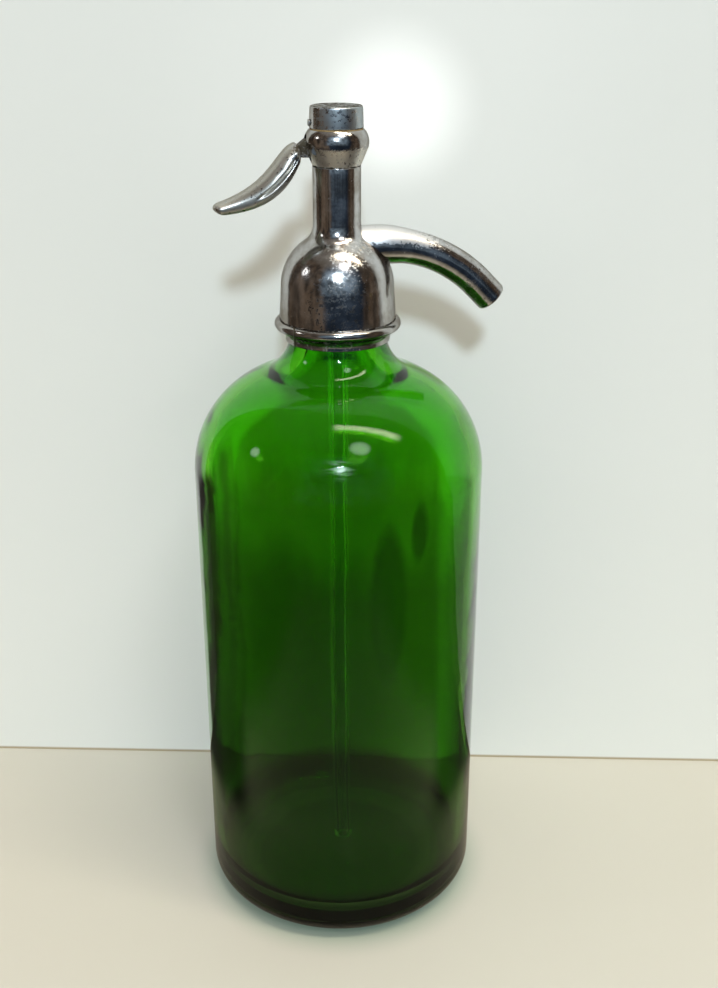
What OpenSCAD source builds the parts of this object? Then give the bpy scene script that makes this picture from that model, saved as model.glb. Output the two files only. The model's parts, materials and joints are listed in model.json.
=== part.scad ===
// Soda siphon: a glass bottle with a plated lever head.
// Millimetres. The bottle stands on z = 0 and its axis is the Z axis.
// The spout points along +X and the lever along -X.

/* [Bottle] */
// Outer diameter of the bottle's body
body_d = 102; // [100:0.5:104]
// Height at which the straight body ends and the shoulder begins
body_top = 171; // [168:0.5:173]
// Wall of the body
glass_wall = 4.2; // [3.8:0.1:4.6]
// Thickness of the glass floor
floor_t = 5.5; // [5:0.1:6]
// Rise of the push-up under the floor
push_up = 2.2; // [1.5:0.1:2.6]
// Radius of the neck's bore
mouth_r = 9.75; // [9.4:0.05:10]

/* [Head] */
// Radius of the bell at its lower edge
bell_r = 19.8; // [19.6:0.05:20.2]
// Radius of the stem
stem_r = 7.95; // [7.7:0.05:8.1]
// Radius of the valve barrel inside the stem
barrel_r = 5.5; // [5.4:0.02:5.6]
// Greatest radius of the round lever housing
housing_r = 10.6; // [10.4:0.05:10.8]

/* [Spout] */
// Radius of the bend along the spout's centre line
bend_r = 50; // [48:0.5:51]
// Angle through which the spout bends down
bend_a = 46; // [44:0.5:47]
// Outer radius of the spout near its mouth
spout_r = 5.5; // [5.3:0.05:5.7]
// Radius of the spout's bore
spout_bore_r = 3.6; // [3.3:0.05:3.8]

/* [Lever] */
// Half of the lever's width at its widest
lever_half_w = 6.6; // [6:0.1:7]
// Thickness of the lever's neck where it enters the slot
neck_w = 4; // [3.6:0.1:4.2]
// Distance from the fulcrum to the axis of the valve
fulcrum_x = 8.2; // [8.1:0.05:8.3]

/* [Valve] */
// Clearance round the sliding piston
piston_gap = 0.05; // [0.04:0.01:0.08]
// Radius of the valve disc
disc_r = 4.4; // [4.2:0.05:4.5]
// Wire of the valve spring
wire_d = 0.9; // [0.8:0.05:1]
// Turns of the valve spring
spring_turns = 4; // [3:0.5:4.5]

/* [Cap] */
// Outer radius of the top cap
cap_r = 8.8; // [8.7:0.05:9]
// Top of the cap above the table
cap_top = 293.7; // [293.5:0.1:294.2]

/* [Hidden] */
$fn = 96;

glass_green = [0.10, 0.42, 0.10, 0.6];
tube_glass = [0.75, 0.85, 0.80, 0.6];
nickel = [0.72, 0.72, 0.73];
worn_nickel = [0.62, 0.61, 0.60];
yellow_brass = [0.78, 0.64, 0.32];
black_rubber = [0.12, 0.12, 0.13];
red_fibre = [0.55, 0.20, 0.14];
spring_steel = [0.55, 0.56, 0.58];

gap = 0.1;                 // loose fit between screwed or stacked pieces
body_r = body_d / 2;

// bottle
foot_in = 32;              // inner edge of the standing ring
foot_out = 38;             // outer edge of the standing ring
heel_h = 9.2;
shoulder_r = 37;
shoulder_x = body_r - shoulder_r;
throat_r = 15;             // hollow curve between shoulder and neck
neck_r = 16.5;
groove_r = 13.4;           // waist of the neck, gripped by the collar
groove_z = 223.2;
lip_z = 230.2;
lip_r = 15.6;
mouth_z = 236;
inner_r = body_r - glass_wall;
inner_shoulder_r = shoulder_r - glass_wall;
inner_throat_r = 16;
inner_heel_r = 12;
inner_floor_z = push_up + floor_t;

// sealing stack between the glass and the head
gasket_t = 1.6;
flange_t = 2;
flange_r = 12.5;
tube_r = 3.5;
tube_bore_r = 1.9;
tube_end_z = 10.6;
head_gasket_bore_r = 3;
flange_z = mouth_z + gasket_t;
ledge_z = flange_z + flange_t + gasket_t;
stack_r = 14.7;

// bell, dome and stem
bell_z = 224.7;
dome_c = [0.8, 235.5];
dome_r = 18.3;
stem_fillet = 6.8;
stem_top = 275;
bell_bore_r = 17.6;
bell_step_z = mouth_z + 0.8;
barrel_z = 245;
spigot_r = 6.6;            // screwed tail of the lever housing
spigot_z = 270;

// collar
bead_r = 1.7;
bead_c = [19.8, bell_z - bead_r];
collar_z = 217.3;
collar_top = 229;
collar_seam_a = 37;        // bearing of the seam between the halves

// lever housing
housing_z = stem_top;
housing_eq_z = 282.4;      // height of its widest place
housing_curve_r = 5.66;
housing_top = 286.3;
housing_bore_r = 5.9;
thread_r = 7.1;
thread_top = 290.4;
slot_w = 4.6;
slot_low = 278.6;
slot_high = 282.7;

// fulcrum
fulcrum_z = 280.2;
pin_r = 1.1;
pin_half = 5.95;

// spout
socket_r = 4.6;
socket_x = 6.3;
spout_z = 248.7;
bend_x = 14;
mouth_len = 7;
root_flare = 1.1;
flare_len = 9;

// valve
seat_z = 246.8;
seat_bore_r = 2.6;
seat_tail_r = 3.6;
seat_rim_r = 3.3;
seat_flange_z = 246;
disc_z = seat_z + 0.02;
disc_t = 2;
piston_r = barrel_r - piston_gap;
cup_r = 4.9;
cup_z = 247.7;
cup_top = 250.4;
rod_r = 2.9;
packing_z = 257.5;
packing_t = 2.9;
window_z = 278.8;          // lower edge of the finger's seat
window_top = 281.6;
window_low = 275.8;        // lower edge of the clearance for the shank
window_w = 4.5;
window_lip_x = -1.2;
spring_seat_z = 283.6;
nib_r = 3.4;
nib_top = 285.2;

// cap
cap_gasket_t = 0.4;
cap_z = housing_top + cap_gasket_t;
cap_edge_r = 0.9;
cap_floor_z = 291.8;
lock_z = 288.5;
lock_r = 0.8;

// finger of the lever
finger_r = 1.35;
shank_h = 0.85;
boss_r = 2.3;

// Points on an arc round c, from angle a0 to a1 in n steps
function arc(c, r, a0, a1, n) =
    [for (i = [0:n]) let (a = a0 + (a1 - a0) * i / n) c + r * [cos(a), sin(a)]];

// The same for an ellipse with half axes r[0] and r[1]
function oval(c, r, a0, a1, n) =
    [for (i = [0:n]) let (a = a0 + (a1 - a0) * i / n) c + [r[0] * cos(a), r[1] * sin(a)]];

// Centre height of a curve of radius r that touches a circle (c, cr) and the line x = x_line
function touch_z(c, cr, x_line, r) = c[1] + sqrt(pow(cr + r, 2) - pow(x_line + r - c[0], 2));

// Bearing from a to b
function bearing(a, b) = atan2(b[1] - a[1], b[0] - a[0]);

// Cubic curve through p[0] and p[3], drawn towards p[1] and p[2]
function cubic(p, u) =
    pow(1 - u, 3) * p[0] + 3 * u * pow(1 - u, 2) * p[1] + 3 * u * u * (1 - u) * p[2] + pow(u, 3) * p[3];

// Smooth step from 0 at a to 1 at b
function ease(a, b, x) = let (t = min(1, max(0, (x - a) / (b - a)))) t * t * (3 - 2 * t);

// Quads that join ring after ring, with a flat face at each end
function skin_faces(rings, n) = concat(
    [for (i = [0:rings - 2], j = [0:n - 1])
        [i * n + j, i * n + (j + 1) % n, (i + 1) * n + (j + 1) % n, (i + 1) * n + j]],
    [[for (j = [n - 1:-1:0]) j]],
    [[for (j = [0:n - 1]) (rings - 1) * n + j]]);

// The same faces seen from the other side
function turned(faces) = [for (f = faces) [for (k = [len(f) - 1:-1:0]) f[k]]];

module ring(r_out, r_in, z, h) {
    translate([0, 0, z])
        difference() {
            cylinder(r = r_out, h = h);
            translate([0, 0, -1]) cylinder(r = r_in, h = h + 2);
        }
}

module along_y(r, half) {
    rotate([90, 0, 0]) cylinder(r = r, h = 2 * half, center = true);
}

// Blown body, round shoulder, waisted neck with a rolled lip
module bottle() {
    shoulder_c = [shoulder_x, body_top];
    throat_c = [neck_r + throat_r, touch_z(shoulder_c, shoulder_r, neck_r, throat_r)];
    throat_a = bearing(shoulder_c, throat_c);
    in_throat_c = [mouth_r + inner_throat_r,
                   touch_z(shoulder_c, inner_shoulder_r, mouth_r, inner_throat_r)];
    in_throat_a = bearing(shoulder_c, in_throat_c);
    dish_r = (foot_in * foot_in + push_up * push_up) / (2 * push_up);
    dish_a = asin(foot_in / dish_r);
    lip_edge = 1.3;
    mouth_edge = 0.9;
    outside = concat(
        arc([0, push_up - dish_r], dish_r, 90, 90 - dish_a, 6),
        oval([foot_out, heel_h], [body_r - foot_out, heel_h], -90, 0, 12),
        arc(shoulder_c, shoulder_r, 0, throat_a, 20),
        arc(throat_c, throat_r, throat_a + 180, 180, 12),
        arc([neck_r - 1.4, throat_c[1] + 0.6], 1.4, 0, 60, 4),
        arc([groove_r + 1.4, groove_z + 0.4], 1.4, 240, 180, 4),
        [[groove_r, lip_z - 0.6], [groove_r + 0.6, lip_z]],
        arc([lip_r - lip_edge, lip_z + lip_edge], lip_edge, -90, 0, 5),
        arc([lip_r - lip_edge, mouth_z - lip_edge], lip_edge, 0, 90, 5),
        arc([mouth_r + mouth_edge, mouth_z - mouth_edge], mouth_edge, 90, 180, 4));
    inside = concat(
        arc(in_throat_c, inner_throat_r, 180, in_throat_a + 180, 12),
        arc(shoulder_c, inner_shoulder_r, in_throat_a, 0, 20),
        arc([inner_r - inner_heel_r, inner_floor_z + inner_heel_r], inner_heel_r, 0, -90, 10),
        [[0, inner_floor_z]]);
    color(glass_green) rotate_extrude() polygon(concat(outside, inside));
}

// Glass tube that hangs from its flange and ends just above the bottle's floor
module dip_tube() {
    fillet = 1.6;
    edge = 0.4;
    top = flange_z + flange_t;
    color(tube_glass)
        rotate_extrude()
            polygon(concat(
                [[tube_bore_r, tube_end_z], [tube_r, tube_end_z]],
                arc([tube_r + fillet, flange_z - fillet], fillet, 180, 90, 4),
                [[flange_r - edge, flange_z], [flange_r, flange_z + edge],
                 [flange_r, top - edge], [flange_r - edge, top], [tube_bore_r, top]]));
}

// Rubber washer between the glass and the tube's flange, bored wide to clear the tube's fillet
module tube_gasket() {
    color(black_rubber) ring(stack_r, tube_r + 2, mouth_z, gasket_t);
}

// Rubber washer between the tube's flange and the head
module head_gasket() {
    color(black_rubber) ring(stack_r, head_gasket_bore_r, flange_z + flange_t, gasket_t);
}

// Soft ring between the collar and the lip of the glass
module neck_cushion() {
    glass_gap = 0.7;
    color(red_fibre) ring(lip_r, groove_r + glass_gap, collar_top, lip_z - collar_top);
}

module collar_half(bearing_a) {
    cove_r = 3;
    seam_gap = 0.5;
    section = concat(
        [[neck_r + 0.55, collar_z], [neck_r + 1, collar_z], [neck_r + 1.3, collar_z + 0.4]],
        arc([neck_r + 1.3 + cove_r, collar_z + 0.8], cove_r, 180, 118, 5),
        arc(bead_c, bead_r, -75, 90, 9),
        [[bell_bore_r - gap, bell_z], [bell_bore_r - gap, collar_top - 0.5],
         [bell_bore_r - gap - 0.5, collar_top], [groove_r + 0.35, collar_top],
         [groove_r + 0.35, groove_z + 0.6], [neck_r + 0.3, groove_z - 2]]);
    rotate([0, 0, bearing_a + seam_gap / 2])
        rotate_extrude(angle = 180 - seam_gap) polygon(section);
}

// Half of the screwed ring that grips the glass under its lip
module collar_half_front() {
    color(worn_nickel) collar_half(collar_seam_a + 180);
}

module collar_half_back() {
    color(worn_nickel) collar_half(collar_seam_a);
}

// Outline of the bell, the dome and the stem, from the bell's edge up
function head_outline() =
    let (fillet_c = [stem_r + stem_fillet, touch_z(dome_c, dome_r, stem_r, stem_fillet)],
         meet_a = bearing(dome_c, fillet_c))
    concat([[bell_r - 0.3, bell_z], [bell_r, bell_z + 0.3]],
           arc(dome_c, dome_r, 0, meet_a, 12),
           arc(fillet_c, stem_fillet, meet_a + 180, 180, 8));

// Bell, dome and stem in one casting
module head_body() {
    color(nickel)
        difference() {
            rotate_extrude()
                polygon(concat(
                    head_outline(),
                    [[stem_r, stem_top - 0.4], [stem_r - 0.35, stem_top],
                     [spigot_r + 0.05, stem_top], [spigot_r + 0.05, spigot_z],
                     [barrel_r, spigot_z], [barrel_r, barrel_z],
                     [seat_tail_r, barrel_z], [seat_tail_r, ledge_z],
                     [stack_r + gap, ledge_z], [stack_r + gap, bell_step_z],
                     [bell_bore_r, bell_step_z], [bell_bore_r, bell_z]]));
            translate([socket_x, 0, spout_z]) rotate([0, 90, 0]) cylinder(r = socket_r, h = 12);
            translate([0, 0, spout_z]) rotate([0, 90, 0]) cylinder(r = spout_bore_r, h = 12);
        }
}

// Radius of the spout's outside at a distance s past the start of the bend
function spout_radius(s) = spout_r + root_flare * exp(-pow(max(0, s) / flare_len, 2));

// Station of the spout at a distance s past the start of the bend: [x, z, angle below level, radius]
function spout_station(s, r) =
    let (bend_len = bend_r * bend_a * PI / 180,
         a = min(bend_a, max(0, s / bend_r * 180 / PI)),
         extra = s < 0 ? s : max(0, s - bend_len))
    [bend_x + bend_r * sin(a) + extra * cos(a), spout_z - bend_r * (1 - cos(a)) - extra * sin(a), a, r];

// Curved tube with a flared root, cut to the shape of the head and soldered on
module spout() {
    sides = 32;
    reach = bend_r * bend_a * PI / 180 + mouth_len;
    steps = 20;
    root_s = socket_x - bend_x + 0.8;
    lip = 0.9;
    rough_r = spout_bore_r - 0.15;
    outer = concat(
        [for (i = [0:steps]) let (s = root_s + (reach - lip - root_s) * i / steps)
            spout_station(s, spout_radius(s))],
        [for (a = [30, 60, 90])
            spout_station(reach - lip + lip * sin(a), spout_r - lip * (1 - cos(a)))]);
    inner = [for (i = [steps:-1:0])
        let (s = root_s + (reach - root_s) * i / steps) spout_station(s, rough_r)];
    stations = concat(outer, inner);
    rings = len(stations);
    points = [for (st = stations, j = [0:sides - 1])
        let (t = j * 360 / sides, up = st[3] * sin(t))
        [st[0] + up * sin(st[2]), st[3] * cos(t), st[1] + up * cos(st[2])]];
    faces = [for (i = [0:rings - 1], j = [0:sides - 1])
        let (a = i * sides, b = ((i + 1) % rings) * sides, k = (j + 1) % sides)
        [a + j, b + j, b + k, a + k]];
    tip = spout_station(reach, 0);
    color(nickel)
        difference() {
            union() {
                difference() {
                    polyhedron(points, faces);
                    rotate_extrude()
                        polygon(concat([[0, bell_z]], head_outline(), [[stem_r, stem_top], [0, stem_top]]));
                }
                translate([socket_x, 0, spout_z])
                    rotate([0, 90, 0]) cylinder(r = socket_r - 0.02, h = 9);
            }
            translate([socket_x - 1, 0, spout_z])
                rotate([0, 90, 0]) cylinder(r = spout_bore_r, h = 11);
            translate([tip[0], 0, tip[1]])
                rotate([0, 90 + bend_a, 0])
                    translate([0, 0, -mouth_len]) cylinder(r = spout_bore_r, h = mouth_len + 1);
        }
}

// Turned bush pressed in the barrel's floor, with a raised rim
module valve_seat() {
    color(yellow_brass)
        rotate_extrude()
            polygon([[seat_bore_r, ledge_z + 0.2], [seat_tail_r - 0.02, ledge_z + 0.2],
                     [seat_tail_r - 0.02, barrel_z], [barrel_r - gap, barrel_z],
                     [barrel_r - gap, seat_flange_z - 0.3], [seat_rim_r + 0.6, seat_flange_z],
                     [seat_rim_r, seat_z], [seat_bore_r, seat_z]]);
}

// Rubber disc that closes on the seat
module valve_disc() {
    color(black_rubber) ring(disc_r, 1.25, disc_z, disc_t);
}

// Cheese-head screw that holds the disc
module disc_screw() {
    head_t = 1;
    color(yellow_brass)
        difference() {
            union() {
                translate([0, 0, disc_z - head_t]) cylinder(r = 1.9, h = head_t);
                translate([0, 0, disc_z - head_t]) cylinder(r = 1.2, h = head_t + disc_t + 4);
            }
            translate([-3, -0.25, disc_z - head_t - 1]) cube([6, 0.5, 1.5]);
        }
}

// Turned piston: cup for the disc, groove for the packing, guide, window and spring seat
module valve_piston() {
    waist_r = 4.5;
    disc_top = disc_z + disc_t;
    color(yellow_brass)
        difference() {
            rotate_extrude()
                polygon([[1.22, disc_top], [disc_r + 0.03, disc_top], [disc_r + 0.03, cup_z],
                         [cup_r, cup_z], [cup_r, cup_top - 0.5], [cup_r - 0.5, cup_top],
                         [rod_r, cup_top], [rod_r, packing_z - 1.3], [cup_r, packing_z - 1],
                         [cup_r, packing_z], [rod_r, packing_z],
                         [rod_r, packing_z + packing_t], [piston_r, packing_z + packing_t],
                         [piston_r, packing_z + 6], [waist_r, packing_z + 6.8],
                         [waist_r, 269.2], [piston_r, 270], [piston_r, spring_seat_z],
                         [nib_r, spring_seat_z], [nib_r, nib_top - 0.5], [nib_r - 0.5, nib_top],
                         [0, nib_top], [0, disc_top + 5], [1.22, disc_top + 4.4]]);
            translate([window_lip_x, -window_w / 2, window_z])
                cube([2 * piston_r, window_w, window_top - window_z]);
            translate([-2 * piston_r, -window_w / 2, window_low])
                cube([2 * piston_r + window_lip_x, window_w, window_top - window_low]);
        }
}

// Rubber ring that seals the barrel above the outlet
module piston_packing() {
    lip = 0.5;
    color(black_rubber)
        rotate_extrude()
            polygon([[rod_r + 0.02, packing_z + 0.02], [piston_r - lip, packing_z + 0.02],
                     [piston_r, packing_z + lip], [piston_r, packing_z + packing_t - lip],
                     [piston_r - lip, packing_z + packing_t - 0.02],
                     [rod_r + 0.02, packing_z + packing_t - 0.02]]);
}

// Round wire wound along a helix, from the piston's seat to the cap
module valve_spring() {
    coil_r = 4.5;
    wire_r = wire_d / 2;
    touch = 0.03;
    low = spring_seat_z + wire_r + touch;
    high = cap_floor_z - wire_r - touch;
    per_turn = 20;
    sides = 8;
    n = round(spring_turns * per_turn);
    close_up = 0.45;
    // the end turns lie closer together than the working turns
    function rise(f) = ease(0, 1, f) * close_up + f * (1 - close_up);
    points = [for (i = [0:n], j = [0:sides - 1])
        let (a = 360 * i / per_turn, t = 360 * j / sides, r = coil_r + wire_r * cos(t))
        [r * cos(a), r * sin(a), low + (high - low) * rise(i / n) + wire_r * sin(t)]];
    color(spring_steel) polyhedron(points, turned(skin_faces(n + 1, sides)));
}

// Outline of the round lever housing, from its lower edge up
function housing_outline() =
    let (c = [housing_r - housing_curve_r, housing_eq_z], flank_a = -23)
    concat([[stem_r - 0.35, housing_z], [stem_r + 0.1, housing_z + 0.4]],
           arc(c, housing_curve_r, flank_a, asin((housing_top - housing_eq_z) / housing_curve_r), 14));

// Round casting on the stem that carries the lever
module lever_housing() {
    color(nickel)
        difference() {
            rotate_extrude()
                polygon(concat(
                    housing_outline(),
                    [[thread_r, housing_top], [thread_r, thread_top - 0.4],
                     [thread_r - 0.4, thread_top], [housing_bore_r, thread_top],
                     [housing_bore_r, housing_z + 1.4], [barrel_r, housing_z + 1],
                     [barrel_r, spigot_z + 0.1], [spigot_r, spigot_z + 0.1],
                     [spigot_r, housing_z]]));
            for (z = [slot_low, slot_high])
                translate([-12, 0, z]) rotate([0, 90, 0]) cylinder(r = slot_w / 2, h = 9);
            translate([-12, -slot_w / 2, slot_low]) cube([9, slot_w, slot_high - slot_low]);
            translate([-fulcrum_x, 0, fulcrum_z]) along_y(pin_r + 0.01, 12);
        }
}

module fulcrum_pin() {
    color(worn_nickel) translate([-fulcrum_x, 0, fulcrum_z]) along_y(pin_r, pin_half);
}

// Half widths of the lever's blade: shoulder, broad middle, narrow tip
function blade_half_w(u) =
    lever_half_w * (0.80 + 0.20 * ease(0, 0.3, u)) * (1 - 0.42 * ease(0.45, 1, u));

// Round-off of both ends: 0 at the very end, 1 along the blade
function blade_round(u) =
    let (root = 0.05, tip = 0.955)
    u < root ? sqrt(1 - pow(1 - u / root, 2)) * 0.45 + 0.55 :
    u > tip ? sqrt(max(0, 1 - pow((u - tip) / (1 - tip), 2))) : 1;

// Cross-section of the blade as [y, height], height -1 at the skirt and 1 at the crown.
// A groove of that depth, as a share of w, runs along each side just below the middle.
function blade_section(w, hollow, groove) =
    let (inner = 0.58 * w,
         side = [for (a = [-72:12:84])
             let (h = sin(a), across = pow(cos(a), a > 0 ? 0.85 : 0.35))
             [w * across * (1 - groove * exp(-pow((h + 0.2) / 0.14, 2))), h]])
    concat(side, [[0, 1]],
           [for (i = [len(side) - 1:-1:0]) [-side[i][0], side[i][1]]],
           [for (a = [180:-20:0]) [inner * cos(a), -1 + hollow * sin(a)]]);

// Cast thumb lever: curved hollow blade, narrow neck, eye for the fulcrum and finger
module lever() {
    crown = [[-13.2, 282.7], [-20.5, 281.2], [-19.7, 269.5], [-41.7, 263.6]];
    skirt = [[-12.0, 277.6], [-17.2, 265.5], [-26.6, 261.1], [-39.5, 260.6]];
    groove_depth = 0.17;
    steps = 34;
    stations = [for (i = [0:steps]) let (f = i / steps) 0.5 - 0.5 * cos(180 * f)];
    n = len(blade_section(1, 0, 0));
    points = [for (u = stations)
        let (top = cubic(crown, u), low = cubic(skirt, u), mid = (top + low) / 2,
             k = max(0.04, blade_round(u)), half = (top - low) / 2 * k,
             hollow = 0.04 + 0.91 * ease(0.08, 0.2, u) * (1 - ease(0.78, 0.92, u)),
             groove = groove_depth * ease(0.02, 0.1, u) * (1 - ease(0.5, 0.7, u)))
        for (p = blade_section(blade_half_w(u), hollow, groove))
            [mid[0] + half[0] * p[1], k * p[0], mid[1] + half[1] * p[1]]];
    color(nickel)
        difference() {
            union() {
                polyhedron(points, skin_faces(len(stations), n));
                translate([0, neck_w / 2, 0])
                    rotate([90, 0, 0])
                        linear_extrude(height = neck_w) {
                            polygon([[-13.8, 279.2], [-13.2, 281.6], [-12.2, 282.2], [-10.4, 283.6],
                                     [-9.2, 283.3], [-6.9, 281.6], [-5, fulcrum_z + shank_h],
                                     [0, fulcrum_z + shank_h], [0, fulcrum_z - shank_h],
                                     [-5, fulcrum_z - shank_h], [-7, 278.3], [-9.4, 277.8],
                                     [-11.2, 277.8], [-12.6, 278.1]]);
                            translate([-fulcrum_x, fulcrum_z]) circle(r = boss_r);
                            translate([0, fulcrum_z]) circle(r = finger_r);
                        }
            }
            translate([-fulcrum_x, 0, fulcrum_z]) along_y(pin_r + 0.05, 12);
        }
}

module cap_gasket() {
    color(red_fibre) ring(cap_r - 0.2, thread_r + gap, housing_top, cap_gasket_t);
}

// Screw cap that closes the housing and holds the spring down
module top_cap() {
    color(nickel)
        difference() {
            rotate_extrude()
                polygon(concat(
                    [[cap_r - 0.3, cap_z], [cap_r, cap_z + 0.3]],
                    arc([cap_r - 0.2 - cap_edge_r, cap_top - cap_edge_r], cap_edge_r, 0, 90, 6),
                    [[0, cap_top], [0, cap_floor_z], [housing_bore_r - 0.1, cap_floor_z],
                     [thread_r + gap / 2, thread_top + 0.4], [thread_r + gap / 2, cap_z]]));
            translate([-12, 0, lock_z]) rotate([0, 90, 0]) cylinder(r = lock_r + 0.01, h = 6);
        }
}

// Slotted screw through the cap's skirt
module cap_lock_screw() {
    head_r = 1.05;
    color(worn_nickel)
        translate([-cap_r - 0.5, 0, lock_z])
            difference() {
                union() {
                    rotate([0, 90, 0]) cylinder(r = lock_r, h = cap_r + 0.5 - thread_r - 0.15);
                    rotate([0, 90, 0]) cylinder(r = head_r, h = 0.45);
                }
                translate([-0.1, -0.15, -2]) cube([0.3, 0.3, 4]);
            }
}

bottle();
dip_tube();
tube_gasket();
head_gasket();
neck_cushion();
collar_half_front();
collar_half_back();
head_body();
spout();
valve_seat();
valve_disc();
disc_screw();
valve_piston();
piston_packing();
valve_spring();
lever_housing();
fulcrum_pin();
lever();
cap_gasket();
top_cap();
cap_lock_screw();
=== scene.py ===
"""An old soda siphon on a pale table in front of a pale wall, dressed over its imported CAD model.

Lengths are in millimetres, as in the part's source, and become metres where a mesh is made.
The bottle's axis is the Z axis, the spout points along +X and the lever along -X.
"""

import json
import math

import bmesh
import bpy
import numpy as np
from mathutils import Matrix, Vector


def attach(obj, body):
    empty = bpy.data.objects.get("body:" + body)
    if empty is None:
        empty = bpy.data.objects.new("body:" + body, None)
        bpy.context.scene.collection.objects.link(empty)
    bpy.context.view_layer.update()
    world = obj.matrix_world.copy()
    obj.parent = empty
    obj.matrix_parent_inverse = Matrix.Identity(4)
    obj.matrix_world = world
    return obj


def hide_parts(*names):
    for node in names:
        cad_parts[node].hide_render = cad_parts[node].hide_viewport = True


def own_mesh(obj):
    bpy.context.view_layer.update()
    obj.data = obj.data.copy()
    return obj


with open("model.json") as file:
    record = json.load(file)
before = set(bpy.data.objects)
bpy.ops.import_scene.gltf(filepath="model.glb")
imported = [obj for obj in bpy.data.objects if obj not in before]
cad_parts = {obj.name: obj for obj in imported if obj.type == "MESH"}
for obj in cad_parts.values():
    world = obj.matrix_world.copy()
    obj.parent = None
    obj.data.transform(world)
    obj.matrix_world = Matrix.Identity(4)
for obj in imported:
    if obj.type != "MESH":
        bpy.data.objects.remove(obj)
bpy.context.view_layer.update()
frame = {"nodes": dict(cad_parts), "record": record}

MM = 0.001
WELD = 1e-7                 # metres within which grid points are one vertex

# bottle
BODY_R = 51
BODY_TOP = 171
GLASS_WALL = 4.2
FLOOR_T = 5.5
PUSH_UP = 2.2
MOUTH_R = 9.75
MOUTH_Z = 236
NECK_R = 16.5
GROOVE_R = 13.4
GROOVE_Z = 223.2
LIP_R = 15.6
LIP_Z = 230.2
SHOULDER_R = 37
THROAT_R = 15
INNER_THROAT_R = 16
INNER_HEEL_R = 12
FOOT_IN = 32
FOOT_OUT = 38
HEEL_H = 9.2

# bell, dome and stem
BELL_R = 19.8
BELL_Z = 224.7
BELL_BORE_R = 17.6
DOME_C = (0.8, 235.5)
DOME_R = 18.3
STEM_R = 7.95
STEM_TOP = 275
STEM_FILLET = 6.8
STACK_R = 14.8
LEDGE_Z = 241.2
BARREL_R = 5.5
BARREL_Z = 245
OUTLET_R = 3.6
STACK_LOW = 236.8
SPIGOT_R = 6.65             # bore in the stem that takes the housing's spigot
SPIGOT_LOW = 270

# collar
BEAD_R = 1.7
BEAD_C = (19.8, BELL_Z - BEAD_R)
COLLAR_Z = 217.3
COLLAR_TOP = 229
SEAM_BEARING = 37
SEAM_GAP = 0.5              # degrees

# lever housing and cap
HOUSING_R = 10.6
HOUSING_CURVE_R = 5.66
HOUSING_C = (HOUSING_R - HOUSING_CURVE_R, 282.4)
HOUSING_TOP = 286.3
HOUSING_BORE_R = 5.9
THREAD_R = 7.1
THREAD_TOP = 290.4
SLOT_W = 4.6
SLOT_LOW = 278.6
SLOT_HIGH = 282.7
CAP_R = 8.8
CAP_Z = 286.7
CAP_TOP = 293.7
CAP_FLOOR_Z = 291.8
CAP_EDGE_R = 0.9

# valve spring
SPRING_LOW = 283.6
SPRING_COIL_R = 4.5
SPRING_WIRE_R = 0.45
SPRING_TURNS = 4

# spout
SPOUT_Z = 248.7
BEND_X = 14
BEND_R = 50
BEND_A = 46                 # degrees
MOUTH_LEN = 6.96
SPOUT_R = 5.5
SPOUT_BORE_R = 3.6
ROOT_FLARE = 1.1
FLARE_LEN = 9
SPOUT_ROOT_X = 7.1

# lever: two cubic curves in the XZ plane, each by its four control points
CROWN = np.array([(-13.2, 282.7), (-20.5, 281.2), (-19.7, 269.5), (-41.7, 263.6)])
SKIRT = np.array([(-12.0, 277.6), (-17.2, 265.5), (-26.6, 261.1), (-39.5, 260.6)])
LEVER_HALF_W = 6.6
ROOT_WIDTH = 0.80           # widths at the two ends as shares of the full width
TIP_WIDTH = 0.58
HOLLOW_SHARE = 0.58         # width of the hollow as a share of the blade's
GROOVE_DEPTH = 0.17         # the same for the groove along each side
NECK_W = 4
FULCRUM = (-8.2, 280.2)
BOSS_R = 2.3
PIVOT_BORE_R = 1.15
FINGER_C = (0, 280.2)
FINGER_R = 1.35
NECK = np.array([
    (-13.8, 279.2), (-13.2, 281.6), (-12.2, 282.2), (-10.4, 283.6), (-9.2, 283.3), (-6.9, 281.6),
    (-5, 281.05), (0, 281.05), (0, 279.35), (-5, 279.35), (-7, 278.3), (-9.4, 277.8), (-11.2, 277.8),
    (-12.6, 278.1)])

# the camera looks from this bearing, measured from -Y towards -X
VIEW_TURN = 12

# table and wall, in metres in the camera's view: across, away and up
TABLE_END = 0.6
TABLE_FRONT = -0.36
TABLE_BACK = 1.5
WALL_LEFT = -0.18
WALL_RIGHT = 2.0
WALL_HEIGHT = 2.0
WALL_AWAY = 0.0691
WALL_TURN = 2.81            # degrees
GLARE = (21.5, 287)         # across and up in millimetres

# camera, in metres and degrees
CAMERA_BACK = 0.4071
CAMERA_UP = 0.3291
CAMERA_TILT = 67.265        # from straight down
CAMERA_PAN = 1.02           # to the right of the axis

# colours, linear
DARK_ROOM = (0.035, 0.03, 0.025)
BLACK = (0, 0, 0)
WHITE = (1, 1, 1)


# ---------------------------------------------------------------- curves and surfaces

def arc(centre, radius, start, end, steps=16):
    """Points centre + radius (cos a, sin a), with a running evenly from start to end in degrees.
    radius may be a pair, for an ellipse."""
    a = np.radians(np.linspace(start, end, steps + 1))
    return np.array(centre) + np.multiply(radius, np.column_stack([np.cos(a), np.sin(a)]))


def outline(*parts):
    """One list of (radius, height) points out of single points and arcs."""
    return np.vstack([np.reshape(part, (-1, 2)) for part in parts])


def bearing(a, b):
    """Direction from a to b, in degrees."""
    return math.degrees(math.atan2(b[1] - a[1], b[0] - a[0]))


def touching(circle, radius, line_x, curve):
    """Centre of a curve that touches the upright line at line_x and a circle from outside:
    the centres of curve and circle lie radius + curve apart."""
    x = line_x + curve
    return (x, circle[1] + math.sqrt((radius + curve) ** 2 - (x - circle[0]) ** 2))


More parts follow.
